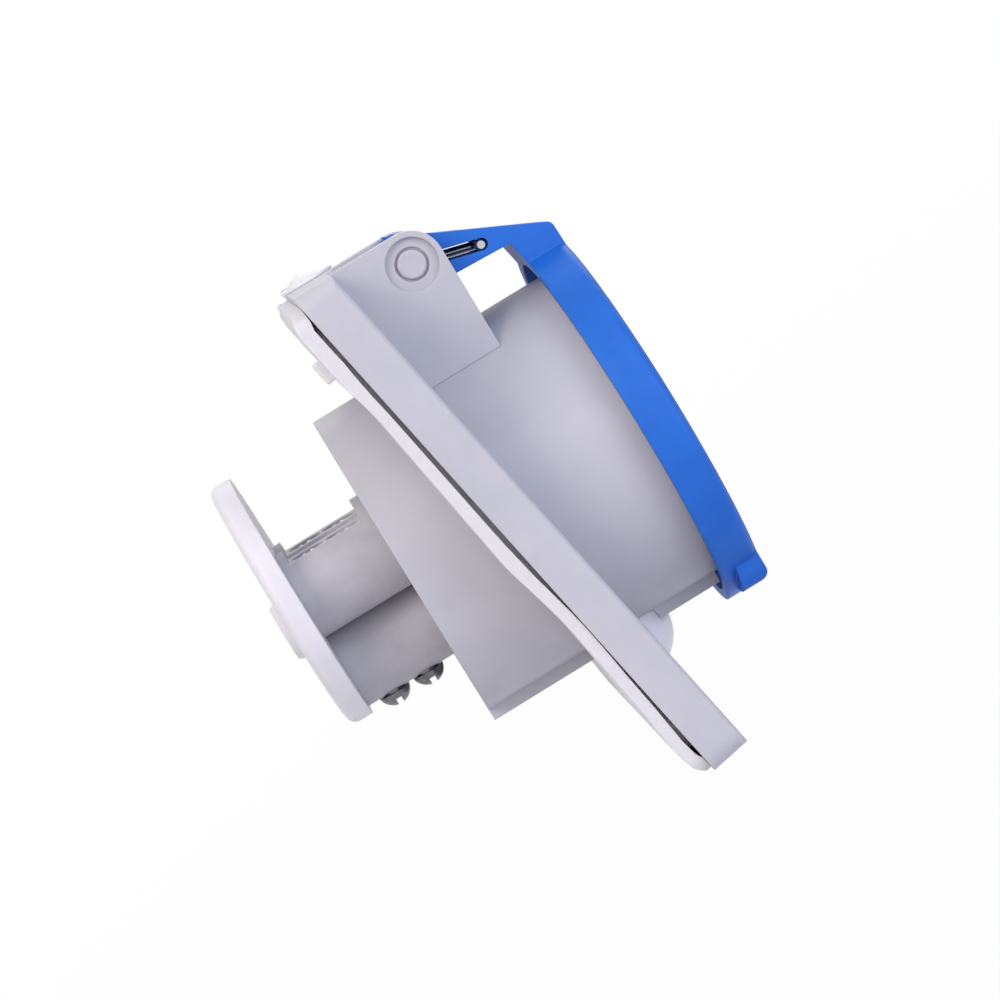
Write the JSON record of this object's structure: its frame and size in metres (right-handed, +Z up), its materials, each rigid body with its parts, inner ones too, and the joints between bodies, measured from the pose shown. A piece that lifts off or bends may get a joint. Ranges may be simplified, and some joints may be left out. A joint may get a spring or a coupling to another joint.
{
  "type": "industrial panel socket",
  "caption": "Panel-mounting industrial power socket: angled grey housing with a keyed collar, blue lid on a spring hinge, pin contacts in a carrier, screw terminals and a white rear plate.",
  "frame": {"origin": "the middle of the flange gasket's rear face, where the socket rests on its panel", "axes": "+Y points into the panel and the front points to -Y; +Z is up, towards the hinge; X runs along the hinge"},
  "size_m": [0.076, 0.0693, 0.0875],
  "materials": {
    "grey_plastic": "light grey moulded polyamide with a fine satin texture",
    "blue_plastic": "mid blue moulded polyamide, satin",
    "white_plastic": "white moulded plastic, satin",
    "soft_gasket": "soft off-white elastomer, matte",
    "carrier_plastic": "grey moulded insulator, slightly duller than the housing",
    "plated_steel": "bright zinc-plated steel",
    "contact_brass": "plain turned brass"
  },
  "bodies": {
    "socket_body": {"housing": "grey_plastic", "socket_tube": "grey_plastic", "flange_gasket": "soft_gasket", "hinge_pin": "grey_plastic", "lid_spring": "plated_steel", "line_carrier": "carrier_plastic", "neutral_carrier": "carrier_plastic", "earth_carrier": "carrier_plastic", "terminal_tubes": "carrier_plastic", "line_sleeve": "contact_brass", "neutral_sleeve": "contact_brass", "earth_sleeve": "contact_brass", "line_ring": "plated_steel", "neutral_ring": "plated_steel", "earth_ring": "plated_steel", "line_screws": "plated_steel", "neutral_screws": "plated_steel", "earth_screws": "plated_steel", "rear_plate": "white_plastic", "rear_plate_screw": "plated_steel", "carrier_screws": "plated_steel", "upper_cap": "white_plastic", "lower_cap": "white_plastic"},
    "lid_body": {"lid": "blue_plastic", "lid_seal": "soft_gasket"}
  },
  "joints": [
    {"name": "lid_hinge", "type": "hinge", "parent": "socket_body", "child": "lid_body", "pos_m": [0, -0.01881, 0.03516], "axis": [-1, 0, 0], "range_deg": [0, 110], "stiffness_Nm_per_rad": 0.05, "springref_deg": -57.3, "deforming": ["lid_spring"]}
  ]
}
